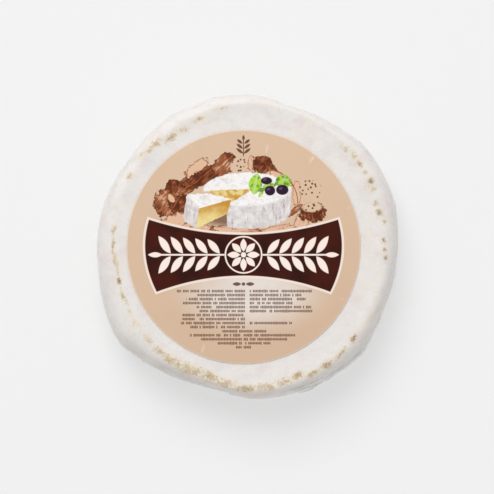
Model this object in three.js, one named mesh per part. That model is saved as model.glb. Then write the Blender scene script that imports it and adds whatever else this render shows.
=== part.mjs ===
// A soft white-rind cheese wheel in a thin clear film wrap, with a round paper label on its top.
// Millimetres, +Z up. The origin is the centre of the underside, where the wheel stands on a table.
import * as THREE from "three";

// The outline seen from above: [degrees from +X towards +Y, millimetres from the axis]. The wheel has
// slumped a little out of round, and the taut film draws straighter runs between its soft corners.
const outlineKnots = [
  [0, 77.5], [12, 78.7], [22, 79.2], [42, 79.2], [51, 77.2], [62, 76.6], [74, 75.8], [84, 78.1],
  [92, 78.9], [104, 78.7], [112, 77.8], [120, 78.4], [134, 77.6], [146, 76.5], [160, 77.6], [176, 78.0],
  [186, 78.1], [198, 79.7], [208, 81.6], [215, 82.9], [224, 80.7], [235, 77.9], [243, 76.6], [252, 75.4],
  [263, 76.2], [270, 78.5], [288, 79.1], [304, 79.8], [320, 80.1], [329, 77.7], [337, 76.7], [345, 77.3],
  [352, 76.9],
];
const samplesPerKnot = 24; // how finely the outline's curve is followed
const meanRadius = 78; // of the wrapped wheel at its widest

const filmThickness = 0.3; // drawn thicker than the real film, so that it is a sound solid
const airGap = 0.3; // between the film and what it touches
const filmMouthRadius = 9; // the gathered film leaves this hole in the middle of the underside

const cheeseThickness = 32.4; // underside to the flat of the top
const topFlatRadius = 65; // the top is level as far as this, under the label
const ridgeRadius = 70; // a low ridge runs round the top, and rolls over into the shoulder here
const ridgeBulge = 0.8; // how far its curve is pulled up over the flat of the top
const ridgeFall = 0.5; // how far below the flat it rolls over
const footFlatRadius = 67; // the underside is flat as far as this
const bellyHeight = 14; // the side is widest here
const roundRadius = 15; // the middle stays round as far as this

// How far the curves of the section are pulled from the points they run between, outwards and upwards.
const ridgePull = new THREE.Vector2(-2, ridgeBulge);
const shoulderPull = new THREE.Vector2(-2.6, -3);
const upperSidePull = new THREE.Vector2(-1.2, 12);
const lowerSidePull = new THREE.Vector2(0, -9);
const footPull = new THREE.Vector2(-2.5, 0);

const labelRadius = 60;
const labelThickness = 0.3;
const labelOffset = new THREE.Vector2(-2.5, 0); // the label was laid on a little off centre

const aroundSegments = 72;
const curveSteps = 5; // points along each rounded stretch of the section
const labelSegments = 96;

const filmWall = airGap + filmThickness;
const cheeseBase = filmWall;
const cheeseTop = cheeseBase + cheeseThickness;
const cheeseRadius = meanRadius - filmWall;

// Half of the wheel's section, from the axis at the top round to the underside at footStart, as
// [radius, height] points. grow moves the whole section outwards, for the film's two faces.
function sectionPoints(grow, footStart) {
  const side = cheeseRadius + grow;
  const top = cheeseTop + grow;
  const base = cheeseBase - grow;
  const ridge = ridgeRadius + grow / 2;
  const section = new THREE.Path();
  section.moveTo(0, top);
  section.lineTo(topFlatRadius, top);
  section.quadraticCurveTo(ridgeRadius + ridgePull.x, top + ridgePull.y, ridge, top - ridgeFall);
  section.bezierCurveTo(
    side + shoulderPull.x, top + shoulderPull.y,
    side + upperSidePull.x, bellyHeight + upperSidePull.y,
    side, bellyHeight,
  );
  section.bezierCurveTo(
    side + lowerSidePull.x, bellyHeight + lowerSidePull.y,
    side + footPull.x, base + footPull.y,
    footFlatRadius, base,
  );
  section.lineTo(footStart, base);
  return section.getPoints(curveSteps);
}

// The outline's radius at an angle, on a smooth closed curve through the knots.
function makeOutline(knots) {
  const corners = knots.map(([degrees, radius]) => {
    const angle = THREE.MathUtils.degToRad(degrees);
    return new THREE.Vector3(radius * Math.cos(angle), radius * Math.sin(angle), 0);
  });
  const curve = new THREE.CatmullRomCurve3(corners, true, "centripetal");
  const points = curve.getPoints(knots.length * samplesPerKnot);
  const samples = points.map((p) => ({ angle: Math.atan2(p.y, p.x), radius: Math.hypot(p.x, p.y) }));
  samples.sort((a, b) => a.angle - b.angle);
  return (angle) => {
    const next = samples.findIndex((s) => s.angle >= angle);
    const b = samples[next < 0 ? 0 : next];
    const a = samples[(next < 0 ? samples.length : next) - 1] ?? samples[samples.length - 1];
    const turn = 2 * Math.PI;
    const span = (b.angle - a.angle + turn) % turn || 1;
    const share = ((angle - a.angle + turn) % turn) / span;
    return THREE.MathUtils.lerp(a.radius, b.radius, Math.min(share, 1));
  };
}

// Turns a section about the axis, then carries it out to the wheel's outline. The middle stays round.
function outOfRoundLathe(section, outlineRadius) {
  const geometry = new THREE.LatheGeometry(section, aroundSegments).rotateX(Math.PI / 2);
  const position = geometry.attributes.position;
  const onAxis = 1e-6;
  for (let i = 0; i < position.count; i++) {
    const x = position.getX(i);
    const y = position.getY(i);
    const radius = Math.hypot(x, y);
    if (radius < onAxis) {
      position.setXY(i, 0, 0);
      continue;
    }
    const weight = THREE.MathUtils.smoothstep(radius, roundRadius, topFlatRadius);
    const moved = radius + (outlineRadius(Math.atan2(y, x)) - meanRadius) * weight;
    position.setXY(i, (x * moved) / radius, (y * moved) / radius);
  }
  geometry.computeVertexNormals();
  return geometry;
}

function cheeseGeometry(outlineRadius) {
  return outOfRoundLathe(sectionPoints(0, 0).reverse(), outlineRadius);
}

// The film's outer face from the top to the mouth, then its inner face back up to the top.
function filmGeometry(outlineRadius) {
  const outer = sectionPoints(filmWall, filmMouthRadius);
  const inner = sectionPoints(airGap, filmMouthRadius);
  return outOfRoundLathe([...inner, ...outer.reverse()], outlineRadius);
}

function labelGeometry() {
  const disc = new THREE.Shape().absarc(0, 0, labelRadius, 0, 2 * Math.PI);
  const geometry = new THREE.ExtrudeGeometry(disc, {
    depth: labelThickness,
    bevelEnabled: false,
    curveSegments: labelSegments,
  });
  return geometry.translate(labelOffset.x, labelOffset.y, cheeseTop + filmWall + airGap);
}

function part(name, geometry, finish) {
  const mesh = new THREE.Mesh(geometry, new THREE.MeshStandardMaterial(finish));
  mesh.name = name;
  return mesh;
}

const outlineRadius = makeOutline(outlineKnots);
const film = filmGeometry(outlineRadius);
film.computeBoundingBox();
const middle = film.boundingBox.getCenter(new THREE.Vector3());

const cheese = new THREE.Group();
cheese.add(
  part("cheese_wheel", cheeseGeometry(outlineRadius), { color: 0xe8e3da, roughness: 0.9, metalness: 0 }),
  part("film_wrap", film, {
    color: 0xf4f5f5,
    roughness: 0.35,
    metalness: 0,
    transparent: true,
    opacity: 0.2,
  }),
  part("paper_label", labelGeometry(), { color: 0xd8b997, roughness: 0.6, metalness: 0 }),
);
cheese.position.set(-middle.x, -middle.y, 0); // the origin is the middle of the footprint

export default cheese;
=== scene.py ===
import math

import bmesh
import bpy
import numpy as np
from mathutils import Matrix, Vector, noise
from mathutils.bvhtree import BVHTree
from mathutils.geometry import interpolate_bezier


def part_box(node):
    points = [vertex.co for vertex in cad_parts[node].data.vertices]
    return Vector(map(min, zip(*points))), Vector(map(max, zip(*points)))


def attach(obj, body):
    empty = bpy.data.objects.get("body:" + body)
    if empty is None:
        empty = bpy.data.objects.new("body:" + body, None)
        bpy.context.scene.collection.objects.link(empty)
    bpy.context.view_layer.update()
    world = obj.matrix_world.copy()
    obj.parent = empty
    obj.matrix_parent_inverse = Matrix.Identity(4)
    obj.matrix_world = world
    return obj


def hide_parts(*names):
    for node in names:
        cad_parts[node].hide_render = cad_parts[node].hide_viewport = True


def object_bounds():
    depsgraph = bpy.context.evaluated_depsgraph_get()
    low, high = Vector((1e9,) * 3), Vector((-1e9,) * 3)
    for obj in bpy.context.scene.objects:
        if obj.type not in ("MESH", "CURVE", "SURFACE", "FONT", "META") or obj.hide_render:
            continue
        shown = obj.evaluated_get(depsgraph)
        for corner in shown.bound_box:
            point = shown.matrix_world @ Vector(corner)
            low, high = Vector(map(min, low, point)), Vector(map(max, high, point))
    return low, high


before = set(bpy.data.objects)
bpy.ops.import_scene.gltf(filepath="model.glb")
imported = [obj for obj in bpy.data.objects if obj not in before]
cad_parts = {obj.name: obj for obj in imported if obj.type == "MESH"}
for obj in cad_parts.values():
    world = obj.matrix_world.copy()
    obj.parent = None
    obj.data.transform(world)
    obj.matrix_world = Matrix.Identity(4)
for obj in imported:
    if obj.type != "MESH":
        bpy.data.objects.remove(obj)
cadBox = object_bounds()
mm = 0.001
fullTurn = 2 * math.pi
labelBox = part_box("paper_label")
print("frame loaded", [round(x / mm, 1) for x in cadBox[1] - cadBox[0]])

# The shape that the cheese, the film and the label share, in millimetres.
wheel = {
    "aroundSteps": 600,
    "flatTop": labelBox[0].z / mm - 0.78,  # the rind's flat top, under film and label
    "foot": 0.45,  # the rind's underside, over the film
    "bellyHeight": 14.0,  # the side is widest here
    "sideInset": 0.2,  # from the outside of the wrap to the rind
    "underHollow": 1.0,  # how far the middle of the underside is drawn up
    "ridge": 69.5,  # the low ridge round the top, before the wheel slumped out of round
    "ridgeOval": 2.0,  # how much longer the ridge is from front to back than from side to side
    "ridgeShift": 0.8,  # how far the ridge leans towards +X
    "ridgeDip": 1.9,  # how far the ridge is drawn in where the side slopes most
    "dipMiddle": 249.0,  # in degrees
    "dipWidth": 15.0,
    "steadyTop": 35.0,  # the top inside this radius stays where it was when the wheel slumped
    "steadyFoot": 10.0,
    "footFlat": 65.0,  # the underside is flat, but for its hollow, as far as this radius
}


def smoothStep(low, high, value):
    t = np.clip((value - low) / (high - low), 0, 1)
    return t * t * (3 - 2 * t)


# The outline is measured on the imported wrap, at its widest, and softened so that no facet shows.
def measureOutline(nodeName, height, steps=720, soften=6):
    tree = BVHTree.FromObject(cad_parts[nodeName], bpy.context.evaluated_depsgraph_get())
    radii = []
    for step in range(steps):
        angle = fullTurn * step / steps
        outward = Vector((math.cos(angle), math.sin(angle), 0))
        hit = tree.ray_cast(outward * 0.3 + Vector((0, 0, height)), -outward)[0]
        radii.append(hit.xy.length / mm)
    radii = np.array(radii)
    return sum(np.roll(radii, shift) for shift in range(-soften, soften + 1)) / (2 * soften + 1)


outline = measureOutline("film_wrap", wheel["bellyHeight"] * mm)
meanRadius = float(outline.mean())
sideRadius = meanRadius - wheel["sideInset"]


def outlineAt(angle):
    return np.interp(angle, np.arange(len(outline)) * fullTurn / len(outline), outline, period=fullTurn)


def ridgeAt(angle):
    oval = wheel["ridgeOval"] * np.cos(2 * angle)
    fromDip = (np.degrees(angle) - wheel["dipMiddle"] + 180) % 360 - 180
    dip = wheel["ridgeDip"] * np.exp(-(fromDip / wheel["dipWidth"]) ** 2)
    return wheel["ridge"] + wheel["ridgeOval"] - oval + wheel["ridgeShift"] * np.cos(angle) - dip


# Half of the wheel's section from the middle of the top to the middle of the underside, as
# [radius, height]. It stops under the wheel at footEnd.
def wheelSection(step, footEnd=0.0):
    top, foot, ridge, belly = wheel["flatTop"], wheel["foot"], wheel["ridge"], wheel["bellyHeight"]
    footFlat = wheel["footFlat"]
    # The edge of the flat, the low ridge, the shoulder, the upper side, the lower side and the foot.
    bends = [
        [(54, top), (58, top), (61, top), (63, top)],
        [(63, top), (66, top), (67.5, top + 0.42), (ridge, top + 0.28)],
        [(ridge, top + 0.28), (72.8, top - 0.2), (75.2, top - 2.9), (76.2, top - 7.2)],
        [(76.2, top - 7.2), (76.8, top - 9.8), (sideRadius, belly + 5.5), (sideRadius, belly)],
        [(sideRadius, belly), (sideRadius, belly - 5.5), (75.6, 3.1), (72.0, 1.4)],
        [(72.0, 1.4), (70.4, 0.64), (68.5, foot), (footFlat, foot)],
    ]
    points = [(r, top) for r in (0, 6, 14, 22, 30, 37, 43, 48, 51.5)]
    for bend in bends:
        corners = [Vector((r, 0, z)) for r, z in bend]
        length = sum((b - a).length for a, b in zip(corners, corners[1:]))
        stretch = interpolate_bezier(*corners, max(4, int(length / step) + 1))
        points += [(p.x, p.z) for p in stretch[:-1]]
    hollow = wheel["underHollow"]
    under = [r for r in (footFlat, 60, 54, 48, 41, 34, 27, 20, 14, 9, 5, 0) if r >= footEnd]
    return points + [(r, foot + hollow * (1 - (r / footFlat) ** 2)) for r in under]


# A section turned about the wheel's axis. Both ends on the axis close to a point.
def turnSection(section, steps):
    bm = bmesh.new()
    corners = [bm.verts.new((r, 0, z)) for r, z in section]
    edges = [bm.edges.new(pair) for pair in zip(corners, corners[1:])]
    bmesh.ops.spin(bm, geom=corners + edges, cent=(0, 0, 0), axis=(0, 0, 1), angle=fullTurn,
                   steps=steps, use_merge=True)
    bmesh.ops.remove_doubles(bm, verts=bm.verts, dist=1e-4)
    bmesh.ops.recalc_face_normals(bm, faces=bm.faces)
    highest = max(bm.faces, key=lambda face: face.calc_center_median().z)
    if highest.normal.z < 0:
        bmesh.ops.reverse_faces(bm, faces=bm.faces)
    return bm


def polar(points):
    return np.hypot(points[:, 0], points[:, 1]), np.arctan2(points[:, 1], points[:, 0])


# Carries the turned, round shape out to the ridge and the outline that the wheel has slumped to.
def slump(points):
    radius, angle = polar(points)
    ridge, newRidge, newSide = wheel["ridge"], ridgeAt(angle), outlineAt(angle) - wheel["sideInset"]
    inner = radius + (newRidge - ridge) * smoothStep(wheel["steadyTop"], ridge, radius)
    outer = newRidge + (radius - ridge) / (sideRadius - ridge) * (newSide - newRidge)
    upper = np.where(radius < ridge, inner, outer)
    lower = radius + (newSide - sideRadius) * smoothStep(wheel["steadyFoot"], wheel["footFlat"] + 1, radius)
    high = smoothStep(wheel["bellyHeight"] - 7, wheel["bellyHeight"] + 3, points[:, 2])
    moved = high * upper + (1 - high) * lower
    points[:, :2] *= (moved / np.maximum(radius, 1e-9))[:, None]


def turnBetween(angle, middle):
    return (angle - middle + math.pi) % fullTurn - math.pi


def noiseAt(points, period, seed):
    shift = Vector((seed * 7.31, seed * 3.17, seed * 5.73))
    return np.array([noise.noise(Vector(p) / period + shift) for p in points])


def readVectors(mesh, what):
    values = np.empty(len(mesh.vertices) * 3, np.float32)
    mesh.vertices.foreach_get(what, values)
    return values.reshape(-1, 3).astype(float)


def writePoints(mesh, points):
    mesh.vertices.foreach_set("co", points.astype(np.float32).ravel())
    mesh.update()


def addAttribute(mesh, name, values):
    attribute = mesh.attributes.new(name, "FLOAT", "POINT")
    attribute.data.foreach_set("value", values.astype(np.float32))


def makeObject(name, bm, material):
    mesh = bpy.data.meshes.new(name)
    bm.to_mesh(mesh)
    bm.free()
    mesh.shade_smooth()
    mesh.materials.append(material)
    piece = bpy.data.objects.new(name, mesh)
    bpy.context.scene.collection.objects.link(piece)
    return piece


# The piece was shaped in millimetres about the origin; this leaves it in the frame's metres.
def toMetres(piece):
    piece.data.transform(Matrix.Scale(mm, 4))
    piece.data.update()


# Slow swells of the top and side, which the film and the label follow: how far apart they are, and how
# high under the label and towards the edge.
swells = {
    "broadPeriod": 34.0,
    "broadMiddle": 0.10,
    "broadEdge": 0.40,
    "smallPeriod": 13.0,
    "smallMiddle": 0.05,
    "smallEdge": 0.18,
}


def swellAt(points):
    edge = smoothStep(40, 66, polar(points)[0])
    broad = noiseAt(points, swells["broadPeriod"], 1) * (swells["broadMiddle"] + swells["broadEdge"] * edge)
    small = noiseAt(points, swells["smallPeriod"], 2) * (swells["smallMiddle"] + swells["smallEdge"] * edge)
    return broad + small


# The shoulder's dried marks. Each has the angle and radius of its middle, in degrees and millimetres,
# its length and width, how dense it is, and how brown: 0 is pale yellow, 1 is dark brown.
crustMarks = [
    (355.3, 70.8, 3.2, 3.4, 1.00, 1.00), (358.8, 70.0, 3.2, 3.4, 0.95, 1.00),
    (2.8, 69.8, 4.6, 4.0, 0.90, 0.95), (349, 70.0, 6, 3.0, 0.45, 0.15), (10.5, 71.2, 3.2, 3.0, 0.85, 1.00),
    (14.6, 70.0, 4.6, 4.6, 1.00, 1.00), (18.8, 69.2, 4.4, 4.2, 0.85, 1.00), (13, 70.4, 10, 5.6, 0.50, 0.10),
    (24.6, 70.4, 4.0, 5.0, 0.85, 0.80), (28.0, 71.4, 4.6, 4.8, 1.00, 1.00),
    (32.4, 71.0, 4.0, 3.6, 0.85, 1.00), (27, 69.0, 10, 6.4, 0.50, 0.10), (36.6, 71.6, 5.0, 3.8, 0.90, 0.95),
    (41, 71.8, 6, 4.2, 0.85, 0.80), (46, 71.0, 8, 4.4, 0.65, 0.50), (50, 69.0, 5, 2.6, 0.40, 0.25),
    (56, 71.6, 5, 2.6, 0.40, 0.50), (64, 71.6, 9, 3.4, 0.35, 0.30), (67, 60.8, 5, 2.0, 0.35, 0.30),
    (81, 74.5, 12, 4.0, 0.30, 0.10), (101, 72.4, 15, 3.0, 0.50, 0.30), (111, 70.0, 9, 3.4, 0.85, 0.55),
    (119, 68.4, 7, 3.4, 0.85, 0.75), (125, 69.0, 10, 3.6, 0.95, 0.65), (133, 71.0, 12, 4.2, 1.00, 0.55),
    (139, 72.4, 8, 3.6, 0.70, 0.30), (147, 76.0, 11, 3.6, 0.60, 0.20), (149, 70.7, 6, 3.6, 0.85, 0.60),
    (154, 75.9, 9, 1.8, 0.65, 0.95), (160, 75.2, 6, 1.6, 0.55, 0.90), (163, 71.0, 5, 3.2, 0.50, 0.55),
    (168, 74.8, 4, 2.2, 0.55, 0.80), (167, 70.6, 3, 2.0, 0.60, 0.80), (173, 69.4, 8, 2.8, 0.80, 0.95),
    (180, 68.9, 12, 2.4, 0.85, 0.95), (186, 68.4, 12, 3.0, 0.80, 0.70), (191, 68.0, 7, 2.4, 0.75, 0.90),
    (195, 68.6, 5, 3.2, 1.00, 1.00), (202, 68.8, 12, 2.6, 0.85, 0.90), (209, 69.2, 7, 3.0, 0.70, 0.60),
    (215, 69.6, 9, 4.4, 0.65, 0.15), (223, 69.8, 9, 3.4, 0.75, 0.40), (230, 70.8, 9, 4.6, 0.95, 0.65),
    (237, 70.4, 13, 5.8, 1.00, 0.40), (245, 69.4, 15, 6.4, 1.00, 0.60), (253, 69.6, 14, 6.2, 0.95, 0.60),
    (261, 71.0, 13, 5.2, 0.90, 0.45), (269, 72.6, 12, 5.4, 1.00, 0.65), (277, 72.4, 13, 5.4, 0.95, 0.45),
    (285, 71.6, 12, 5.0, 0.90, 0.60), (291, 71.2, 9, 5.0, 1.00, 0.75), (297, 72.6, 9, 4.2, 0.95, 0.75),
    (304, 72.6, 10, 4.4, 1.00, 0.80), (311, 72.6, 10, 4.2, 0.95, 0.60), (319, 71.8, 6, 4.0, 1.00, 1.00),
    (329, 71.8, 13, 5.0, 0.50, 0.12), (337, 71.0, 9, 4.0, 0.45, 0.10), (240, 70.0, 26, 5.0, 0.72, 0.55),
    (258, 70.4, 22, 5.4, 0.72, 0.55), (273, 72.4, 22, 5.0, 0.74, 0.60), (289, 71.8, 22, 4.6, 0.74, 0.60),
    (303, 72.6, 22, 4.0, 0.72, 0.60),
]

crust = {
    "wander": 0.9,  # how far a mark strays in and out from its radius
    "wanderPeriod": 9.0,
    "fadesFrom": 8.0,  # down the side from the flat top
    "fadedBy": 13.0,
}


def crustAt(points):
    radius, angle = polar(points)
    dense, brown = np.zeros(len(points)), np.zeros(len(points))
    wander = noiseAt(points, crust["wanderPeriod"], 21) * crust["wander"]
    for degrees, middle, length, width, strength, tone in crustMarks:
        turn = turnBetween(angle, math.radians(degrees))
        along, across = turn * middle / (length / 2), (radius - middle - wander) / (width / 2)
        here = strength * np.exp(-np.abs(along) ** 3 - np.abs(across) ** 2.2)
        brown = np.where(here > dense, tone, brown)
        dense = np.maximum(dense, here)
    top = wheel["flatTop"]
    return dense * smoothStep(top - crust["fadedBy"], top - crust["fadesFrom"], points[:, 2]), brown


rind = {
    "step": 0.75,
    "fuzz": 0.05,  # height of the mould's fine nap
    "fuzzPeriod": 1.5,
    "crustRise": 0.15,  # how proud the dried crust stands
    "crustPeriod": 2.6,
    "sideDimples": 0.10,
    "dimplePeriod": 4.5,
    "dimpleSquash": 1.7,  # how much wider than tall the side's dimples are
    "lowest": 0.25,
}


def makeRind(material):
    bm = turnSection(wheelSection(rind["step"]), wheel["aroundSteps"])
    piece = makeObject("cheeseRind", bm, material)
    mesh = piece.data
    points = readVectors(mesh, "co")
    slump(points)
    writePoints(mesh, points)
    dense, brown = crustAt(points)
    grain = noiseAt(points, rind["fuzzPeriod"], 3)
    level = smoothStep(48, 58, polar(points)[0])
    height = swellAt(points) + rind["fuzz"] * grain * level
    lumps = np.clip(0.35 + 1.6 * noiseAt(points, rind["crustPeriod"], 4), -0.6, 1)
    height += dense * rind["crustRise"] * lumps
    onSide = smoothStep(wheel["flatTop"] - 2, wheel["flatTop"] - 9, points[:, 2])
    dimples = noiseAt(points * [1, 1, rind["dimpleSquash"]], rind["dimplePeriod"], 5)
    height += onSide * rind["sideDimples"] * dimples
    points += readVectors(mesh, "normal") * height[:, None]
    points[:, 2] = np.maximum(points[:, 2], rind["lowest"])
    writePoints(mesh, points)
    addAttribute(mesh, "crust", dense)
    addAttribute(mesh, "crustTone", brown)
    toMetres(piece)
    return piece


film = {
    "step": 1.2,
    "aroundSteps": 600,
    "gap": 0.24,  # from the rind's swells to the outside of the film
    "thickness": 0.05,
    "mouthRadius": 9.0,
    "pleats": 27,
    "pleatRise": 0.55,
    "lapEdge": 1.5,  # how wide the step at a pleat's edge is
    "pleatLean": 7.0,  # the most that a pleat leans, in degrees
    "pleatWidths": (2.0, 4.5),
    "pleatTops": (-0.3, 0.4),  # 0 is the belly and 1 is as far above it as the foot is below
    "hoopWidth": 1.1,
    "ripple": 0.10,
    "ripplePeriod": 6.0,
    "seed": 11,
}

# Pleats that show from above: angle at the belly, lean over the side's height, width, rise and how far
# up the side they reach.
showingPleats = [(293.5, 5.5, 4.0, 1.3, 1.1), (301.5, -3.0, 3.4, 0.6, 0.75), (309, 4.0, 3.4, 0.5, 0.75),
                 (317, 5.0, 3.6, 0.6, 0.75), (218, -5.0, 4.0, 0.5, 0.75), (228, -6.0, 3.6, 0.45, 0.75),
                 (149, 3.0, 3.4, 0.35, 0.75), (52, -2.0, 3.4, 0.4, 0.75), (331, 3.0, 3.4, 0.5, 0.75)]
# Creases drawn along the side: first and last angle, height at each end, and rise.
hoopCreases = [(222, 272, 25.0, 21.0, 0.30), (228, 268, 21.5, 18.5, 0.34), (236, 262, 17.5, 16.0, 0.25),
               (296, 332, 22.5, 25.5, 0.30), (300, 326, 18.5, 21.5, 0.34), (306, 336, 15.0, 17.5, 0.25),
               (345, 372, 23.0, 20.5, 0.16), (40, 66, 24.0, 22.0, 0.18), (150, 176, 20.0, 23.5, 0.16),
               (281, 312, 31.0, 24.0, 0.42), (226, 262, 28.5, 27.0, 0.30)]
# Short radial puckers at the label's rim: angle about the label's middle, radius, length, width, rise.
rimPuckers = [(76.5, 51.5, 5.0, 0.55, 0.16), (52.0, 56.5, 5.2, 0.65, 0.20), (248.5, 56.0, 5.4, 0.55, 0.18),
              (20.0, 57.5, 3.4, 0.5, 0.10), (332.0, 57.0, 3.6, 0.5, 0.10), (118.0, 57.5, 3.2, 0.5, 0.09)]
labelMiddle = ((labelBox[0] + labelBox[1]) / 2 / mm).xy


def puckersAt(points):
    around = points - [labelMiddle.x, labelMiddle.y, 0]
    rise = np.zeros(len(points))
    for degrees, radius, length, width, high in rimPuckers:
        out = Vector((math.cos(math.radians(degrees)), math.sin(math.radians(degrees))))
        along = around[:, 0] * out.x + around[:, 1] * out.y - radius
        across = around[:, 1] * out.x - around[:, 0] * out.y
        taper = np.clip((along + length / 2) / length, 0, 1)
        inside = (np.abs(along) < length / 2) * smoothStep(length / 2, length / 2 - 1, np.abs(along))
        rise += high * inside * np.exp(-(across / (width * (0.35 + 0.65 * taper))) ** 2)
    return rise


def pleatsAt(points):
    rng = np.random.default_rng(film["seed"])
    radius, angle = polar(points)
    belly = wheel["bellyHeight"]
    down = np.clip((belly - points[:, 2]) / belly, -1, 1)
    rise = np.zeros(len(points))
    pleats = list(showingPleats)
    for i in range(film["pleats"]):
        degrees = 360 * (i + rng.uniform(-0.3, 0.3)) / film["pleats"]
        lean, width = rng.uniform(-film["pleatLean"], film["pleatLean"]), rng.uniform(*film["pleatWidths"])
        high = film["pleatRise"] * rng.uniform(0.5, 1.2)
        pleats.append((degrees, lean, width, high, rng.uniform(*film["pleatTops"])))
    for degrees, lean, width, high, reach in pleats:
        across = turnBetween(angle, math.radians(degrees) + math.radians(lean) * down) * radius
        wide = np.minimum(width, 0.1 * radius + 0.2)
        lap = np.where(across > 0, np.exp(-across / wide), np.exp(-((across / film["lapEdge"]) ** 2)))
        rise = np.maximum(rise, high * lap * smoothStep(-reach - 0.35, 0.55 - reach, down))
    top = wheel["flatTop"]
    return rise * smoothStep(top - 1.5, top - 6, points[:, 2])


def hoopsAt(points):
    angle = np.degrees(polar(points)[1]) % 360
    rise = np.zeros(len(points))
    for first, last, startHeight, endHeight, high in hoopCreases:
        share = ((angle - first) % 360) / (last - first)
        height = startHeight + (endHeight - startHeight) * share
        ends = smoothStep(0, 0.25, share) * smoothStep(1, 0.7, share)
        rise += high * ends * np.exp(-((points[:, 2] - height) / film["hoopWidth"]) ** 2)
    return rise


def makeFilm(material):
    section = wheelSection(film["step"], film["mouthRadius"])
    piece = makeObject("filmWrap", turnSection(section, film["aroundSteps"]), material)
    mesh = piece.data
    points = readVectors(mesh, "co")
    slump(points)
    writePoints(mesh, points)
    radius = polar(points)[0]
    onSide = points[:, 2] < wheel["flatTop"] - 1
    pleats, hoops = pleatsAt(points), hoopsAt(points) * onSide
    puckers = puckersAt(points) * (points[:, 2] > wheel["flatTop"] - 1)
    ripple = film["ripple"] * noiseAt(points, film["ripplePeriod"], 31) * smoothStep(62, 66, radius)
    rise = film["gap"] + swellAt(points) + pleats + hoops + puckers + np.abs(ripple)
    points += readVectors(mesh, "normal") * rise[:, None]
    low, high = cadBox[0] / mm, cadBox[1] / mm
    points = np.clip(points, list(low), list(high))
    writePoints(mesh, points)
    addAttribute(mesh, "crease", np.clip(1.2 * pleats + 2.2 * hoops + 3 * puckers, 0, 1))
    toMetres(piece)
    wall = piece.modifiers.new("filmThickness", "SOLIDIFY")
    wall.thickness = film["thickness"] * mm
    wall.offset = -1
    return piece


label = {
    "radius": (labelBox[1].x - labelBox[0].x) / 2 / mm,
    "thickness": 0.12,
    "overFilm": 0.07,
    "aroundSteps": 480,
    "ringStep": 1.5,
    "rimStep": 0.5,
    "rimBand": 8.0,  # the outer part that has the finer rings
}


def makeLabel(material):
    radius, thickness = label["radius"], label["thickness"]
    inner = list(np.arange(0, radius - label["rimBand"], label["ringStep"]))
    outer = list(np.arange(radius - label["rimBand"], radius - 0.04, label["rimStep"]))
    top = [(r, thickness) for r in inner + outer] + [(radius - 0.03, thickness)]
    under = [(radius, thickness * 0.75), (radius, 0)] + [(r, 0) for r in (56, 50, 42, 33, 24, 16, 8, 0)]
    piece = makeObject("paperLabel", turnSection(top + under, label["aroundSteps"]), material)
    mesh = piece.data
    points = readVectors(mesh, "co")
    points[:, 0] += labelMiddle.x
    points[:, 1] += labelMiddle.y
    flat = points.copy()
    flat[:, 2] = wheel["flatTop"]
    puckers = puckersAt(flat)
    points[:, 2] += wheel["flatTop"] + film["gap"] + label["overFilm"] + swellAt(flat) + puckers
    writePoints(mesh, points)
    # The puckers' rise, kept as the mask for the painted highlight on their crests.
    addAttribute(mesh, "puckerHighlight", np.clip(puckers / 0.16, 0, 1))
    addAttribute(mesh, "printX", points[:, 0] - labelMiddle.x)
    addAttribute(mesh, "printY", points[:, 1] - labelMiddle.y)
    toMetres(piece)
    return piece


# Adds a node, sets its options, and fills or links its inputs by name or by number.
def put(tree, kind, inputs=None, **options):
    node = tree.nodes.new(kind)
    for name, value in options.items():
        setattr(node, name, value)
    for key, value in (inputs or {}).items():
        if isinstance(value, bpy.types.NodeSocket):
            tree.links.new(value, node.inputs[key])
        else:
            node.inputs[key].default_value = value
    return node


def calc(tree, operation, *values):
    return put(tree, "ShaderNodeMath", dict(enumerate(values)), operation=operation).outputs[0]


def ramp(tree, value, low, high, start=0.0, end=1.0):
    inputs = {"Value": value, "From Min": low, "From Max": high, "To Min": start, "To Max": end}
    return put(tree, "ShaderNodeMapRange", inputs, interpolation_type="SMOOTHSTEP").outputs["Result"]


def blend(tree, share, first, second):
    node = put(tree, "ShaderNodeMix", {0: share, 6: first, 7: second}, data_type="RGBA")
    return node.outputs[2]


def colour(red, green, blue):  # screen values from 0 to 255, as the light that they stand for
    parts = [c / 255 for c in (red, green, blue)]
    return (*[c / 12.92 if c <= 0.04045 else ((c + 0.055) / 1.055) ** 2.4 for c in parts], 1)


def noiseNode(tree, place, scale, detail=3.0, rough=0.5, distortion=0.0):
    inputs = {"Vector": place, "Scale": scale, "Detail": detail, "Roughness": rough,
              "Distortion": distortion}
    return put(tree, "ShaderNodeTexNoise", inputs, noise_dimensions="3D").outputs["Fac"]


def roughen(tree, shader, height, strength, distance):
    bump = put(tree, "ShaderNodeBump", {"Strength": strength, "Distance": distance, "Height": height})
    tree.links.new(bump.outputs["Normal"], shader.inputs["Normal"])


def newMaterial(name):
    material = bpy.data.materials.new(name)
    material.use_nodes = True
    return material, material.node_tree, material.node_tree.nodes["Principled BSDF"]


def millimetres(tree):  # the object's own place, in millimetres
    place = put(tree, "ShaderNodeTexCoord").outputs["Object"]
    return put(tree, "ShaderNodeMapping", {"Vector": place, "Scale": (1 / mm,) * 3}).outputs["Vector"]


def attribute(tree, name):
    return put(tree, "ShaderNodeAttribute", attribute_name=name).outputs["Fac"]


# A node group that takes and gives numbers. The inputs are listed with their first values.
def newGroup(name, inputs, outputs):
    group = bpy.data.node_groups.new(name, "ShaderNodeTree")
    for socketName, value in inputs.items():
        socket = group.interface.new_socket(socketName, in_out="INPUT", socket_type="NodeSocketFloat")
        socket.default_value = value
    for socketName in outputs:
        group.interface.new_socket(socketName, in_out="OUTPUT", socket_type="NodeSocketFloat")
    return group, group.nodes.new("NodeGroupInput").outputs, group.nodes.new("NodeGroupOutput").inputs


def placeGroup(tree, group, inputs):
    return put(tree, "ShaderNodeGroup", inputs, node_tree=group).outputs


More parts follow.
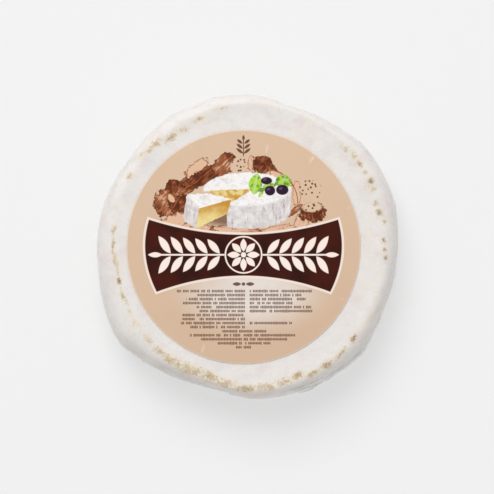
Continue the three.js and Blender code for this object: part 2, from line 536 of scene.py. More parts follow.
rindFinish = {
    "bloom": colour(236, 231, 227),  # the clean white mould
    "cream": colour(235, 226, 211),
    "cool": colour(214, 213, 213),
    "pink": colour(230, 217, 214),
    "halo": colour(230, 219, 196),
    "ochre": colour(200, 177, 143),
    "brown": colour(142, 110, 82),
    "worn": colour(188, 180, 172),  # between the tufts of the nap
    "creamScale": 0.055,  # scales are in turns of the noise to a millimetre
    "coolScale": 0.085,
    "pinkScale": 0.12,
    "napScale": 1.9,
    "crustScale": 0.85,
    "gritScale": 1.5,
    "patchScale": 0.30,
    "roughness": 0.92,
    "sheen": 0.15,
    "bumpStrength": 0.35,
    "bumpHeight": 0.00025,
}


def makeRindMaterial():
    material, tree, shader = newMaterial("bloomyRind")
    spot, finish = millimetres(tree), rindFinish
    cream = ramp(tree, noiseNode(tree, spot, finish["creamScale"], 4), 0.45, 0.75, 0, 0.55)
    cool = ramp(tree, noiseNode(tree, spot, finish["coolScale"], 3, distortion=0.6), 0.46, 0.78, 0, 0.42)
    pink = ramp(tree, noiseNode(tree, spot, finish["pinkScale"], 4), 0.46, 0.72, 0, 0.7)
    base = blend(tree, cream, finish["bloom"], finish["cream"])
    base = blend(tree, cool, base, finish["cool"])
    base = blend(tree, pink, base, finish["pink"])
    nap = noiseNode(tree, spot, finish["napScale"], 4, 0.65)
    base = blend(tree, ramp(tree, nap, 0.3, 0.7, 0, 0.10), base, finish["worn"])
    # The crust has a pale yellow halo, ochre specks where it is dense, and brown grit where it is dark.
    density, tone = attribute(tree, "crust"), attribute(tree, "crustTone")
    fine = noiseNode(tree, spot, finish["crustScale"], 5, 0.62)
    grit = noiseNode(tree, spot, finish["gritScale"], 3, 0.6)
    patches = noiseNode(tree, spot, finish["patchScale"], 3, 0.55)
    halo = ramp(tree, density, 0.08, 0.70, 0, 0.70)
    base = blend(tree, halo, base, finish["halo"])
    spread = calc(tree, "MULTIPLY_ADD", fine, 0.75, calc(tree, "MULTIPLY", patches, 0.45))
    spread = calc(tree, "MULTIPLY_ADD", density, 0.30, spread)
    ochre = calc(tree, "MULTIPLY", ramp(tree, spread, 0.73, 0.95), ramp(tree, tone, 0.05, 0.4, 0.25, 1.0))
    base = blend(tree, ochre, base, finish["ochre"])
    strength = calc(tree, "MULTIPLY", calc(tree, "MULTIPLY", density, density), tone)
    dark = calc(tree, "MULTIPLY_ADD", grit, 0.85, calc(tree, "MULTIPLY", strength, 0.32))
    brown = ramp(tree, dark, 0.60, 0.76, 0, 0.9)
    base = blend(tree, brown, base, finish["brown"])
    tree.links.new(base, shader.inputs["Base Color"])
    rough = ramp(tree, nap, 0.2, 0.8, finish["roughness"] - 0.08, finish["roughness"] + 0.04)
    tree.links.new(rough, shader.inputs["Roughness"])
    shader.inputs["Specular IOR Level"].default_value = 0.25
    shader.inputs["Sheen Weight"].default_value = finish["sheen"]
    shader.inputs["Sheen Roughness"].default_value = 0.6
    height = calc(tree, "ADD", calc(tree, "MULTIPLY", nap, 0.5), calc(tree, "MULTIPLY", fine, 0.6))
    roughen(tree, shader, height, finish["bumpStrength"], finish["bumpHeight"])
    return material


filmFinish = {
    "clear": 0.035,  # how much of the light the flat film takes
    "creased": 0.42,
    "haze": 0.04,  # in the streaks where the film was stretched
    "streakScale": 0.16,
    "roughness": 0.28,
    "tint": colour(238, 239, 240),
}


def makeFilmMaterial():
    material, tree, shader = newMaterial("clearFilm")
    spot, finish = millimetres(tree), filmFinish
    crease = attribute(tree, "crease")
    streaks = noiseNode(tree, spot, finish["streakScale"], 4, 0.6, distortion=1.2)
    haze = ramp(tree, streaks, 0.52, 0.60, 0, finish["haze"])
    cover = ramp(tree, crease, 0.15, 1.0, finish["clear"], finish["creased"])
    tree.links.new(calc(tree, "ADD", cover, haze), shader.inputs["Alpha"])
    shader.inputs["Base Color"].default_value = finish["tint"]
    rough = ramp(tree, streaks, 0.3, 0.7, finish["roughness"] - 0.06, finish["roughness"] + 0.1)
    tree.links.new(rough, shader.inputs["Roughness"])
    return material


# The group's X and Y, seen from its Centre and turned by its Angle.
def turned(group, given):
    x, y = (calc(group, "SUBTRACT", given[n], given["Centre " + n]) for n in "XY")
    cos, sin = calc(group, "COSINE", given["Angle"]), calc(group, "SINE", given["Angle"])
    along = calc(group, "ADD", calc(group, "MULTIPLY", x, cos), calc(group, "MULTIPLY", y, sin))
    across = calc(group, "SUBTRACT", calc(group, "MULTIPLY", y, cos), calc(group, "MULTIPLY", x, sin))
    return along, across


# A pointed oval leaf. Mask is 1 inside it, and Rib is 1 along its middle.
def makeLeafShape():
    inputs = {"X": 0.0, "Y": 0.0, "Centre X": 0.0, "Centre Y": 0.0, "Angle": 0.0, "Length": 8.0,
              "Width": 3.0, "Edge": 0.2}
    group, given, result = newGroup("leafShape", inputs, ["Mask", "Rib"])
    along, across = turned(group, given)
    across = calc(group, "ABSOLUTE", across)
    share = calc(group, "DIVIDE", along, calc(group, "MULTIPLY", given["Length"], 0.5))
    half = calc(group, "MULTIPLY", given["Width"], 0.5)
    narrowing = calc(group, "SUBTRACT", 1.0, calc(group, "MULTIPLY", share, share))
    edge = calc(group, "MULTIPLY", half, narrowing)
    mask = calc(group, "DIVIDE", calc(group, "SUBTRACT", edge, across), given["Edge"])
    group.links.new(ramp(group, mask, -1, 1), result["Mask"])
    group.links.new(ramp(group, calc(group, "DIVIDE", across, half), 0.22, 0.04), result["Rib"])
    return group


def hypotenuse(tree, a, b):
    return calc(tree, "SQRT", calc(tree, "ADD", calc(tree, "MULTIPLY", a, a), calc(tree, "MULTIPLY", b, b)))


# An oval. Mask is 1 inside it, and Level falls from 1 in the middle to 0 at the edge.
def makeOvalShape():
    inputs = {"X": 0.0, "Y": 0.0, "Centre X": 0.0, "Centre Y": 0.0, "Angle": 0.0, "Half Length": 4.0,
              "Half Width": 3.0, "Edge": 0.2}
    group, given, result = newGroup("ovalShape", inputs, ["Mask", "Level"])
    along, across = turned(group, given)
    reach = hypotenuse(group, calc(group, "DIVIDE", along, given["Half Length"]),
                       calc(group, "DIVIDE", across, given["Half Width"]))
    level = calc(group, "SUBTRACT", 1.0, reach)
    smaller = calc(group, "MINIMUM", given["Half Length"], given["Half Width"])
    mask = calc(group, "DIVIDE", calc(group, "MULTIPLY", level, smaller), given["Edge"])
    group.links.new(ramp(group, mask, -1, 1), result["Mask"])
    group.links.new(calc(group, "MAXIMUM", level, 0.0), result["Level"])
    return group


# A patch of brushwork. Ragged frays its edge, Strokes and Shade are the unevenness of the ink, and
# Ink is how dark the result is at each place.
def makeBrushPatch():
    inputs = {"X": 0.0, "Y": 0.0, "Centre X": 0.0, "Centre Y": 0.0, "Angle": 0.0, "Half Length": 4.0,
              "Half Width": 3.0, "Ragged": 0.5, "Strokes": 0.5, "Shade": 0.5, "Tone": 0.5}
    group, given, result = newGroup("brushPatch", inputs, ["Mask", "Ink"])
    along, across = turned(group, given)
    fray = calc(group, "MULTIPLY_ADD", given["Ragged"], 1.5, -0.75)
    reach = hypotenuse(group, calc(group, "DIVIDE", along, given["Half Length"]),
                       calc(group, "DIVIDE", across, given["Half Width"]))
    reach = calc(group, "ADD", reach, fray)
    ink = calc(group, "MULTIPLY_ADD", given["Shade"], 0.7, -0.85)
    ink = calc(group, "ADD", calc(group, "ADD", ink, given["Strokes"]), given["Tone"])
    line = ramp(group, calc(group, "ABSOLUTE", calc(group, "SUBTRACT", reach, 0.93)), 0.09, 0.02, 0, 0.55)
    group.links.new(calc(group, "ADD", ramp(group, ink, 0.26, 0.92), line), result["Ink"])
    group.links.new(ramp(group, reach, 1.03, 0.95), result["Mask"])
    return group


def chanceOf(group, seed):
    return put(group, "ShaderNodeTexWhiteNoise", {"W": seed}, noise_dimensions="1D").outputs["Value"]


# Rows of small blocks that stand where fine print would be. They are no letters. Each row draws its own
# ragged ends by chance, and each block its own height.
def makeSmallPrint(blockWidth=0.78):
    inputs = {"X": 0.0, "Y": 0.0, "Left": -30.0, "Right": 0.0, "Top": 0.0, "Pitch": 2.0, "Rows": 8.0,
              "Ragged Left": 0.0, "Ragged Right": 0.0, "Seed": 0.0}
    group, given, result = newGroup("smallPrint", inputs, ["Mask"])
    drop = calc(group, "DIVIDE", calc(group, "SUBTRACT", given["Top"], given["Y"]), given["Pitch"])
    row = calc(group, "FLOOR", drop)
    inRow = calc(group, "SUBTRACT", drop, row)
    chance = []
    for shift in (0.37, 5.19):
        chance.append(chanceOf(group, calc(group, "ADD", calc(group, "ADD", row, given["Seed"]), shift)))
    left, right = (calc(group, "MULTIPLY", share, given["Ragged " + side])
                   for share, side in zip(chance, ("Left", "Right")))
    left = calc(group, "ADD", given["Left"], left)
    right = calc(group, "SUBTRACT", given["Right"], right)
    column = calc(group, "DIVIDE", given["X"], blockWidth)
    cell = calc(group, "FLOOR", column)
    inCell = calc(group, "SUBTRACT", column, cell)
    block = calc(group, "MULTIPLY_ADD", cell, 0.613, given["Seed"])
    tall = chanceOf(group, calc(group, "ADD", block, calc(group, "MULTIPLY", row, 5.37)))
    shown = calc(group, "GREATER_THAN", tall, 0.11)
    height = calc(group, "MULTIPLY_ADD", tall, 0.13, 0.24)
    upright = calc(group, "SUBTRACT", height, calc(group, "ABSOLUTE", calc(group, "SUBTRACT", inRow, 0.5)))
    stroke = calc(group, "SUBTRACT", 0.40, calc(group, "ABSOLUTE", calc(group, "SUBTRACT", inCell, 0.5)))
    mask = calc(group, "MULTIPLY", ramp(group, upright, -0.05, 0.05), ramp(group, stroke, -0.06, 0.10))
    for low, high in ((left, given["X"]), (given["X"], right), (-0.5, row), (row, given["Rows"])):
        mask = calc(group, "MULTIPLY", mask, calc(group, "LESS_THAN", low, high))
    group.links.new(calc(group, "MULTIPLY", mask, shown), result["Mask"])
    return group


printColours = {
    "groundTop": colour(219, 190, 162),
    "groundFoot": colour(212, 182, 155),
    "groundLeft": colour(217, 188, 160),
    "glow": colour(230, 221, 213),
    "sepiaDark": colour(92, 38, 16),
    "sepia": colour(160, 94, 58),
    "sepiaPale": colour(226, 186, 156),
    "cream": colour(242, 226, 214),
    "rindLight": colour(247, 244, 242),
    "rindShade": colour(212, 205, 204),
    "crack": colour(164, 144, 138),
    "paste": colour(238, 218, 150),
    "pasteDeep": colour(200, 144, 46),
    "leaf": colour(172, 218, 78),
    "leafDeep": colour(96, 140, 36),
    "berry": colour(46, 22, 44),
    "berryShine": colour(112, 84, 124),
    "band": colour(68, 19, 6),
    "bandDeep": colour(46, 12, 4),
    "ornament": colour(250, 234, 224),
    "ink": colour(98, 60, 44),
}

paperFinish = {
    "fibreScale": 3.2,
    "smoothest": 0.55,
    "roughest": 0.68,
    "specular": 0.12,  # low, so that the dark ink stays dark
    "bumpStrength": 0.12,
    "bumpHeight": 0.0001,
}

# The parts of the label's picture, in millimetres from the label's middle.
picture = {
    "wheelMiddle": (1.8, 29.4), "wheelHalfLength": 22.4, "wheelHalfWidth": 8.8, "wheelSide": 11.2,
    "cutHeart": (4.8, 29.6),  # where the missing wedge comes to its point
    "pasteFace": [(5.2, 29.9), (-17.8, 29.0), (-15.2, 26.3), (-6.0, 23.0)],
    "wedgeTop": [(-28.9, 26.9), (-22.7, 19.8), (-6.2, 24.4), (-18.5, 27.6)],
    "wedgeRind": [(-28.9, 26.9), (-31.0, 14.2), (-24.6, 9.4), (-22.7, 19.8)],
    "wedgePaste": [(-22.7, 19.8), (-24.6, 9.4), (-8.4, 17.0), (-6.2, 24.4)],
    # Each patch: middle, half length, half width, angle, how dark it is, and the lean of its strokes.
    "brushwork": [((-24.0, 40.5), 7.5, 3.2, 40, 0.20, 8), ((-30.5, 30.5), 9.0, 4.2, 30, 0.62, -6),
                  ((-19.5, 36.5), 13.0, 4.2, 27, 0.70, 10), ((-10.5, 42.0), 8.0, 4.6, 52, 0.66, 0),
                  ((-36.5, 30.5), 5.0, 3.6, 68, 0.72, 20), ((-38.5, 22.5), 8.0, 7.4, 20, 0.60, 35),
                  ((-32.0, 20.5), 5.5, 6.5, 60, 0.78, 0), ((-37.0, 25.0), 2.6, 1.5, -55, -0.1, 0),
                  ((-34.0, 12.2), 11.0, 5.2, 14, 0.16, 20), ((-22.0, 8.8), 11.0, 3.2, -8, 0.34, 40),
                  ((-3.5, 8.6), 14.0, 2.4, -2, 0.40, 0), ((20.0, 8.8), 12.0, 2.8, 7, 0.36, 0),
                  ((4.6, 42.6), 2.6, 4.6, 6, 0.40, 90), ((9.8, 42.0), 5.2, 4.6, -14, 0.74, 60),
                  ((14.8, 39.6), 6.8, 2.2, -52, 0.70, 0), ((18.8, 35.5), 7.0, 2.4, -30, 0.22, 0),
                  ((27.3, 27.4), 7.4, 2.1, 92, 0.34, 0), ((26.6, 19.0), 5.0, 1.4, 40, 0.62, 0),
                  ((30.0, 13.6), 5.4, 3.6, 40, 0.28, 30), ((35.8, 17.6), 6.8, 5.0, 6, 0.74, 80)],
    # Pale patches with dark seeds: middle, half length, half width, angle.
    "seeded": [((-2.2, 41.6), 4.6, 4.4, 8), ((34.8, 28.8), 6.6, 5.2, -30), ((35.2, 20.4), 5.0, 2.5, 4)],
    # Each leaf: middle, length, width, angle, and how pale it is.
    "leaves": [((6.2, 32.4), 11.4, 7.0, 80, 0.55), ((9.0, 27.6), 5.4, 1.8, 62, 0.7),
               ((13.2, 31.4), 6.8, 3.4, 6, 0.0), ((20.4, 33.4), 8.4, 8.0, 70, 0.15),
               ((9.6, 29.4), 5.2, 2.0, 15, -0.8), ((16.6, 32.4), 3.6, 1.4, 60, -0.6)],
    # Each berry: middle, half length and half width.
    "berries": [((11.8, 34.0), 2.9, 1.9), ((13.6, 28.9), 2.7, 2.5), ((19.9, 29.3), 3.2, 2.6)],
}


def meet(tree, *masks):
    mask = masks[0]
    for other in masks[1:]:
        mask = calc(tree, "MULTIPLY", mask, other)
    return mask


def either(tree, masks):
    mask = masks[0]
    for other in masks[1:]:
        mask = calc(tree, "MAXIMUM", mask, other)
    return mask


def without(tree, mask, other):
    return calc(tree, "MULTIPLY", mask, calc(tree, "SUBTRACT", 1.0, other))


# 1 inside a convex outline whose corners run anticlockwise, and 0 outside it.
def insideOutline(tree, x, y, corners, edge=0.2):
    depth = None
    for (ax, ay), (bx, by) in zip(corners, corners[1:] + corners[:1]):
        length = math.hypot(bx - ax, by - ay)
        nx, ny = (ay - by) / length, (bx - ax) / length
        side = calc(tree, "ADD", calc(tree, "MULTIPLY", x, nx), calc(tree, "MULTIPLY", y, ny))
        side = calc(tree, "SUBTRACT", side, nx * ax + ny * ay)
        depth = side if depth is None else calc(tree, "MINIMUM", depth, side)
    return ramp(tree, depth, -edge, edge)


def makeLabelMaterial():
    material, tree, shader = newMaterial("printedPaper")
    tools = {"leaf": makeLeafShape(), "oval": makeOvalShape(), "print": makeSmallPrint(),
             "brush": makeBrushPatch()}
    place = put(tree, "ShaderNodeTexCoord").outputs["Object"]
    spot = put(tree, "ShaderNodeMapping", {"Vector": place, "Location": (-labelMiddle.x, -labelMiddle.y, 0),
                                           "Scale": (1 / mm,) * 3}).outputs["Vector"]
    plan = {"spot": spot, "x": attribute(tree, "printX"), "y": attribute(tree, "printY")}
    paint = None
    # The last layer paints a pale rim, partly painted highlight, and a painted highlight on the puckers'
    # crests.
    for layer in (printGround, printSketch, printCheese, printGarnish, printBand, printRows, paleRimAndPuckerHighlights):
        paint = layer(tree, plan, tools, paint)
        plan = waitFor(tree, plan, paint)
    tree.links.new(paint, shader.inputs["Base Color"])
    fibre = noiseNode(tree, spot, paperFinish["fibreScale"], 4, 0.6)
    rough = ramp(tree, fibre, 0.3, 0.7, paperFinish["smoothest"], paperFinish["roughest"])
    tree.links.new(rough, shader.inputs["Roughness"])
    shader.inputs["Specular IOR Level"].default_value = paperFinish["specular"]
    roughen(tree, shader, fibre, paperFinish["bumpStrength"], paperFinish["bumpHeight"])
    return material


# Cycles can hold only so many unfinished values at once. A shift too small to see makes the next layer
# wait until this one is painted.
def waitFor(tree, plan, paint):
    painted = put(tree, "ShaderNodeSeparateColor", {"Color": paint}).outputs[0]
    return {**plan, **{axis: calc(tree, "MULTIPLY_ADD", painted, 1e-7, plan[axis]) for axis in "xy"}}


def oval(tree, plan, tools, middle, halfLength, halfWidth, degrees=0, edge=0.2, x=None, y=None):
    return placeGroup(tree, tools["oval"], {
        "X": x or plan["x"], "Y": y or plan["y"], "Centre X": middle[0], "Centre Y": middle[1],
        "Angle": math.radians(degrees), "Half Length": halfLength, "Half Width": halfWidth, "Edge": edge})


def leaf(tree, plan, tools, middle, length, width, degrees=0, edge=0.2, x=None, y=None):
    return placeGroup(tree, tools["leaf"], {
        "X": x or plan["x"], "Y": y or plan["y"], "Centre X": middle[0], "Centre Y": middle[1],
        "Angle": math.radians(degrees), "Length": length, "Width": width, "Edge": edge})


# Unevenness drawn out along a direction, like strokes of a brush.
def strokesAlong(tree, plan, degrees, stretch, scale, detail=4):
    inputs = {"Vector": plan["spot"], "Rotation": (0, 0, math.radians(degrees)), "Scale": (stretch, 1, 1)}
    turnedSpot = put(tree, "ShaderNodeMapping", inputs, vector_type="TEXTURE").outputs["Vector"]
    return noiseNode(tree, turnedSpot, scale, detail, 0.62, 0.5)


def printGround(tree, plan, tools, paint):
    cols = printColours
    ground = blend(tree, ramp(tree, plan["y"], 45, -45), cols["groundTop"], cols["groundFoot"])
    ground = blend(tree, ramp(tree, plan["x"], -20, -60, 0, 0.7), ground, cols["groundLeft"])
    glow = oval(tree, plan, tools, (4, -24), 46, 24, 0, 3)["Level"]
    ground = blend(tree, ramp(tree, glow, 0.0, 0.75, 0, 0.95), ground, cols["glow"])
    mottle = noiseNode(tree, plan["spot"], 0.11, 4)
    return blend(tree, ramp(tree, mottle, 0.35, 0.75, 0, 0.25), ground, cols["groundFoot"])


# Sepia brushwork of bread and kitchen things behind the cheese.
def printSketch(tree, plan, tools, paint):
    cols = printColours
    ragged = noiseNode(tree, plan["spot"], 0.33, 5, 0.66, 0.4)
    shade = noiseNode(tree, plan["spot"], 0.20, 3)
    for middle, halfLength, halfWidth, degrees, tone, lean in picture["brushwork"]:
        strokes = strokesAlong(tree, plan, degrees + lean, 4.5, 0.95)
        patch = placeGroup(tree, tools["brush"], {
            "X": plan["x"], "Y": plan["y"], "Centre X": middle[0], "Centre Y": middle[1], "Tone": tone,
            "Angle": math.radians(degrees), "Half Length": halfLength, "Half Width": halfWidth,
            "Ragged": ragged, "Shade": shade, "Strokes": strokes})
        tint = blend(tree, ramp(tree, patch["Ink"], 0, 0.5), cols["sepiaPale"], cols["sepia"])
        tint = blend(tree, ramp(tree, patch["Ink"], 0.5, 1), tint, cols["sepiaDark"])
        paint = blend(tree, patch["Mask"], paint, tint)
    seeds = put(tree, "ShaderNodeTexVoronoi", {"Vector": plan["spot"], "Scale": 0.5})
    seed = ramp(tree, seeds.outputs["Distance"], 0.34, 0.24)
    seeded = blend(tree, ramp(tree, ragged, 0.45, 0.62, 0, 0.45), cols["groundTop"], cols["sepiaPale"])
    seeded = blend(tree, calc(tree, "MULTIPLY", seed, 0.9), seeded, cols["sepiaDark"])
    for middle, halfLength, halfWidth, degrees in picture["seeded"]:
        mask = oval(tree, plan, tools, middle, halfLength, halfWidth, degrees, 0.5)["Mask"]
        paint = blend(tree, mask, paint, seeded)
    ring = oval(tree, plan, tools, (11.0, 23.0), 17.5, 17.5, 0, 0.2)["Level"]
    line = ramp(tree, calc(tree, "ABSOLUTE", calc(tree, "SUBTRACT", ring, 0.04)), 0.018, 0.006)
    line = meet(tree, line, calc(tree, "GREATER_THAN", plan["x"], 14.5),
                calc(tree, "GREATER_THAN", plan["y"], 22))
    return blend(tree, calc(tree, "MULTIPLY", line, 0.8), paint, cols["sepiaDark"])


# The cut white cheese and its wedge.
def printCheese(tree, plan, tools, paint):
    cols, art = printColours, picture
    x, y = plan["x"], plan["y"]
    (cx, cy), deep = art["wheelMiddle"], art["wheelSide"]
    longHalf, shortHalf = art["wheelHalfLength"], art["wheelHalfWidth"]
    ragged = noiseNode(tree, plan["spot"], 0.55, 3)
    jog = calc(tree, "MULTIPLY", calc(tree, "SUBTRACT", ragged, 0.5), 1.6)
    wavyX, wavyY = calc(tree, "ADD", x, jog), calc(tree, "ADD", y, jog)
    bloom = noiseNode(tree, plan["spot"], 0.28, 5, 0.6)
    cracks = strokesAlong(tree, plan, 90, 4.5, 0.75)
    wrinkle = calc(tree, "ABSOLUTE", calc(tree, "SUBTRACT", strokesAlong(tree, plan, -35, 3, 0.4, 3), 0.5))
    topTone = blend(tree, ramp(tree, bloom, 0.45, 0.70, 0, 0.55), cols["rindLight"], cols["rindShade"])
    topTone = blend(tree, ramp(tree, wrinkle, 0.018, 0.0, 0, 0.35), topTone, cols["crack"])
    sideTone = blend(tree, ramp(tree, bloom, 0.30, 0.62, 0.35, 1), cols["rindLight"], cols["rindShade"])
    sideTone = blend(tree, ramp(tree, cracks, 0.54, 0.66, 0, 0.75), sideTone, cols["crack"])
    whole = oval(tree, plan, tools, (cx, cy), longHalf, shortHalf, 0, 0.25, wavyX, wavyY)
    foot = oval(tree, plan, tools, (cx, cy - deep), longHalf, shortHalf, 0, 0.25, wavyX, y)["Mask"]
    heartX, heartY = art["cutHeart"]
    leftCut = cx - longHalf * 0.46
    body = calc(tree, "MAXIMUM", foot, meet(tree, ramp(tree, y, cy - deep - 0.1, cy - deep + 0.1),
                                            ramp(tree, y, cy + 0.1, cy - 0.1),
                                            ramp(tree, x, cx + longHalf + 0.1, cx + longHalf - 0.2)))
    body = meet(tree, body, ramp(tree, wavyX, leftCut - 0.2, leftCut + 0.2))
    shadow = oval(tree, plan, tools, (-4, cy - deep - 3.0), 27, 6.4, 0, 2.5)["Level"]
    paint = blend(tree, ramp(tree, shadow, 0.0, 0.6, 0, 0.75), paint, cols["sepiaDark"])
    paint = blend(tree, body, paint, sideTone)
    missing = insideOutline(tree, x, y, [(heartX, heartY), (cx - longHalf - 2, heartY - 1.2),
                                         (cx - longHalf - 2, cy - 12), (leftCut - 0.4, cy - 8.4)])
    topOnly = without(tree, whole["Mask"], missing)
    paint = blend(tree, topOnly, paint, topTone)
    rim = meet(tree, topOnly, ramp(tree, whole["Level"], 0.10, 0.02), ramp(tree, y, cy + 1, cy - 2))
    paint = blend(tree, calc(tree, "MULTIPLY", rim, 0.6), paint, cols["rindShade"])
    pasteTone = blend(tree, ramp(tree, bloom, 0.35, 0.62), cols["paste"], cols["pasteDeep"])
    paint = blend(tree, insideOutline(tree, x, wavyY, art["pasteFace"]), paint, pasteTone)
    deepening = calc(tree, "ADD", calc(tree, "MULTIPLY", bloom, 9), y)
    wedgeTone = blend(tree, ramp(tree, deepening, 17, 27), cols["paste"], cols["pasteDeep"])
    paint = blend(tree, insideOutline(tree, wavyX, wavyY, art["wedgeRind"]), paint, sideTone)
    paint = blend(tree, insideOutline(tree, x, wavyY, art["wedgePaste"]), paint, wedgeTone)
    return blend(tree, insideOutline(tree, wavyX, wavyY, art["wedgeTop"]), paint, topTone)


# Green leaves and dark berries lying on the cheese.
def printGarnish(tree, plan, tools, paint):
    cols = printColours
    vein = noiseNode(tree, plan["spot"], 0.7, 3)
    for middle, length, width, degrees, paleness in picture["leaves"]:
        shape = leaf(tree, plan, tools, middle, length, width, degrees)
        green = blend(tree, ramp(tree, vein, 0.35 + paleness * 0.2, 0.62 + paleness * 0.2), cols["leaf"],
                      cols["leafDeep"])
        tint = blend(tree, calc(tree, "MULTIPLY", shape["Rib"], 0.3), green, cols["cream"])
        paint = blend(tree, shape["Mask"], paint, tint)
    for middle, halfLength, halfWidth in picture["berries"]:
        shape = oval(tree, plan, tools, middle, halfLength, halfWidth)
        shine = oval(tree, plan, tools, (middle[0] - 0.8, middle[1] + 0.7), 0.9, 0.6, 25, 0.4)["Mask"]
        tint = blend(tree, calc(tree, "MULTIPLY", shine, 0.7), cols["berry"], cols["berryShine"])
        paint = blend(tree, shape["Mask"], paint, tint)
    return paint


# The dark band with its cream outline, and a plain leafy branch along it.
def printBand(tree, plan, tools, paint):
    cols = printColours
    x, y = plan["x"], plan["y"]
    squareX = calc(tree, "MULTIPLY", x, x)
    top = calc(tree, "MULTIPLY_ADD", squareX, 0.0033, 6.3)
    foot = calc(tree, "MULTIPLY_ADD", squareX, -0.0042, -14.7)
    lift = calc(tree, "SUBTRACT", y, 0.5)
    bow = calc(tree, "MULTIPLY_ADD", calc(tree, "MULTIPLY", lift, lift), -0.0108, 50.5)
    depth = calc(tree, "MINIMUM", calc(tree, "SUBTRACT", top, y), calc(tree, "SUBTRACT", y, foot))
    depth = calc(tree, "MINIMUM", depth, calc(tree, "SUBTRACT", bow, calc(tree, "ABSOLUTE", x)))
    paint = blend(tree, ramp(tree, depth, -1.35, -1.0), paint, cols["cream"])
    sheen = noiseNode(tree, plan["spot"], 0.06, 3)
    band = blend(tree, ramp(tree, sheen, 0.35, 0.65), cols["band"], cols["bandDeep"])
    paint = blend(tree, ramp(tree, depth, -0.2, 0.2), paint, band)
    # The branch is drawn once and folded over both ways. It grows taller towards the band's ends.
    middleLine, start, pitch, pairs = -4.0, 12.2, 6.3, 5
    fromMiddle = calc(tree, "ABSOLUTE", x)
    fromLine = calc(tree, "ABSOLUTE", calc(tree, "SUBTRACT", y, middleLine))
    taller = calc(tree, "MULTIPLY_ADD", calc(tree, "SUBTRACT", fromMiddle, start), 0.0085, 1.0)
    height = calc(tree, "DIVIDE", fromLine, taller)
    share = calc(tree, "DIVIDE", calc(tree, "SUBTRACT", fromMiddle, start), pitch)
    pair = calc(tree, "FLOOR", share)
    inPair = calc(tree, "MULTIPLY", calc(tree, "SUBTRACT", share, pair), pitch)
    ornament = []
    for step in (-1, 0, 1):
        mask = leaf(tree, plan, tools, (3.1 + step * pitch, 4.1), 9.4, 3.5, 48, 0.2, inPair, height)["Mask"]
        grown = meet(tree, calc(tree, "GREATER_THAN", pair, -0.5 - step),
                     calc(tree, "LESS_THAN", pair, pairs - 0.5 - step))
        ornament.append(meet(tree, mask, grown))
    tip = start + pairs * pitch
    ornament.append(leaf(tree, plan, tools, (tip + 1.6, 0), 7.4, 2.6, 0, 0.2, fromMiddle, fromLine)["Mask"])
    ornament.append(meet(tree, ramp(tree, fromLine, 0.55, 0.3), ramp(tree, fromMiddle, 9.6, 9.9),
                         ramp(tree, fromMiddle, tip, tip - 0.3)))
    turn = calc(tree, "ARCTAN2", calc(tree, "SUBTRACT", y, middleLine), x)
    radius = hypotenuse(tree, fromLine, x)
    petals = 8
    folded = calc(tree, "PINGPONG", calc(tree, "ADD", turn, fullTurn), fullTurn / petals / 2)
    petalX = calc(tree, "MULTIPLY", radius, calc(tree, "COSINE", folded))
    petalY = calc(tree, "MULTIPLY", radius, calc(tree, "SINE", folded))
    ornament.append(leaf(tree, plan, tools, (5.0, 0.0), 6.6, 3.2, 0, 0.2, petalX, petalY)["Mask"])
    ornament.append(ramp(tree, radius, 1.5, 1.2))
    ornament.append(ramp(tree, calc(tree, "ABSOLUTE", calc(tree, "SUBTRACT", radius, 9.3)), 0.5, 0.25))
    return blend(tree, either(tree, ornament), paint, cols["ornament"])


# The rows of blocks under the band, the small mark over them, and the sprig at the top.
def printRows(tree, plan, tools, paint):
    cols = printColours
    x, y = plan["x"], plan["y"]
    pitch = 2.05
    blocks = [  # left, right, top, rows, ragged left, ragged right
        (-35.0, 0.8, -21.6, 10, 16.0, 0.0),
        (3.0, 36.0, -21.6, 6, 0.0, 12.0),
        (3.0, 25.0, -38.0, 1, 0.0, 0.0),
        (-11.0, 11.6, -42.2, 1, 0.0, 0.0),
        (-27.5, 27.0, -44.25, 1, 0.0, 0.0),
        (-22.0, 22.4, -46.3, 1, 0.0, 0.0),
        (-13.4, 13.8, -48.35, 1, 0.0, 0.0),
        (-4.0, 4.3, -50.4, 1, 0.0, 0.0),
    ]
    ink = []
    for number, (left, right, top, rows, raggedLeft, raggedRight) in enumerate(blocks):
        ink.append(placeGroup(tree, tools["print"], {
            "X": x, "Y": y, "Left": left, "Right": right, "Top": top, "Pitch": pitch, "Rows": float(rows),
            "Ragged Left": raggedLeft, "Ragged Right": raggedRight, "Seed": 3.0 + number * 11})["Mask"])
    paint = blend(tree, calc(tree, "MULTIPLY", either(tree, ink), 0.85), paint, cols["ink"])
    marks = [leaf(tree, plan, tools, (side * 3.4, -19.0), 4.6, 1.9, 0)["Mask"] for side in (-1, 1)]
    marks.append(oval(tree, plan, tools, (0, -19.0), 0.9, 0.9)["Mask"])
    fold = calc(tree, "ABSOLUTE", x)
    marks.append(meet(tree, ramp(tree, fold, 0.32, 0.18), ramp(tree, y, 46.4, 46.7),
                      ramp(tree, y, 55.6, 55.3)))
    for height, length in ((48.2, 4.6), (50.6, 4.2), (53.0, 3.6)):
        marks.append(leaf(tree, plan, tools, (1.9, height + 1.1), length, 1.5, 38, 0.2, fold)["Mask"])
    marks.append(leaf(tree, plan, tools, (0, 56.0), 3.0, 1.3, 90)["Mask"])
    return blend(tree, calc(tree, "MULTIPLY", either(tree, marks), 0.9), paint, cols["sepiaDark"])


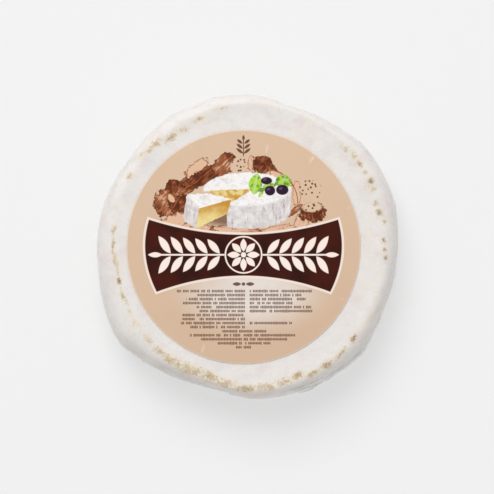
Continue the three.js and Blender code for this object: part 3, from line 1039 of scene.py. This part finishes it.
# A pale ring painted just inside the rim stands partly for the paper's pale cut edge and partly for a
# painted highlight along it, and cream painted on the puckers' crests is a painted highlight.
def paleRimAndPuckerHighlights(tree, plan, tools, paint):
    rim = oval(tree, plan, tools, (0, 0), label["radius"], label["radius"], 0, 0.2)["Level"]
    # painted highlight, with the paper's pale cut edge: a pale ring along the rim
    paint = blend(tree, ramp(tree, rim, 0.010, 0.003, 0, 0.6), paint, printColours["cream"])
    # painted highlight: cream on the puckers' crests, where they catch the light
    return blend(tree, calc(tree, "MULTIPLY", attribute(tree, "puckerHighlight"), 0.5), paint, printColours["cream"])


cheese = makeRind(makeRindMaterial())
print("rind made", len(cheese.data.polygons), "faces")
wrap = makeFilm(makeFilmMaterial())
print("film made", len(wrap.data.polygons), "faces")
paper = makeLabel(makeLabelMaterial())
print("label made", len(paper.data.polygons), "faces")

for piece, node, slotName in ((cheese, "cheese_wheel", "rind"), (wrap, "film_wrap", "film"),
                              (paper, "paper_label", "label")):
    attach(piece, "root")
    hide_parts(node)

studio = {
    "floorSize": 3.0,
    "viewWidth": 0.2534,  # how much of the table the picture takes in
    "lens": 600,
    "besideLabel": 1.8,  # how far right of the label's middle the camera stands, in millimetres
    "keyPlace": (-0.9, 3.0, 4.0),
    "keySize": 3.2,
    "keyPower": 150.0,
    "skyStrength": 0.60,
    "floorTone": 0.42,
    "floorGlow": 0.46,  # keeps the shadow pale
}


def makeStage():
    bm = bmesh.new()
    bmesh.ops.create_grid(bm, x_segments=1, y_segments=1, size=studio["floorSize"] / 2)
    material, _, shader = newMaterial("paleTable")
    shader.inputs["Base Color"].default_value = (studio["floorTone"],) * 3 + (1,)
    shader.inputs["Roughness"].default_value = 0.9
    shader.inputs["Specular IOR Level"].default_value = 0.1
    shader.inputs["Emission Color"].default_value = (1, 1, 1, 1)
    shader.inputs["Emission Strength"].default_value = studio["floorGlow"]
    floor = makeObject("table", bm, material)
    floor.location.z = -0.0002


def makeLights():
    data = bpy.data.lights.new("softKey", "AREA")
    data.shape, data.size, data.size_y = "RECTANGLE", studio["keySize"], studio["keySize"]
    data.energy = studio["keyPower"]
    key = bpy.data.objects.new("softKey", data)
    key.location = studio["keyPlace"]
    key.rotation_euler = (-Vector(studio["keyPlace"])).to_track_quat("-Z", "Y").to_euler()
    bpy.context.scene.collection.objects.link(key)
    world = bpy.data.worlds.new("studioAir")
    world.use_nodes = True
    world.node_tree.nodes["Background"].inputs["Strength"].default_value = studio["skyStrength"]
    world.node_tree.nodes["Background"].inputs["Color"].default_value = (1, 1, 1, 1)
    bpy.context.scene.world = world


def makeCamera():
    data = bpy.data.cameras.new("overhead")
    data.lens, data.sensor_width = studio["lens"], 36
    camera = bpy.data.objects.new("overhead", data)
    distance = studio["viewWidth"] * studio["lens"] / data.sensor_width
    besideLabel = studio["besideLabel"] * mm
    camera.location = (labelMiddle.x * mm + besideLabel, labelMiddle.y * mm, labelBox[1].z + distance)
    data.clip_end = 10
    bpy.context.scene.collection.objects.link(camera)
    bpy.context.scene.camera = camera


makeStage()
makeLights()
makeCamera()
bpy.context.scene.view_settings.view_transform = "Standard"
print("stage, lights and camera made")
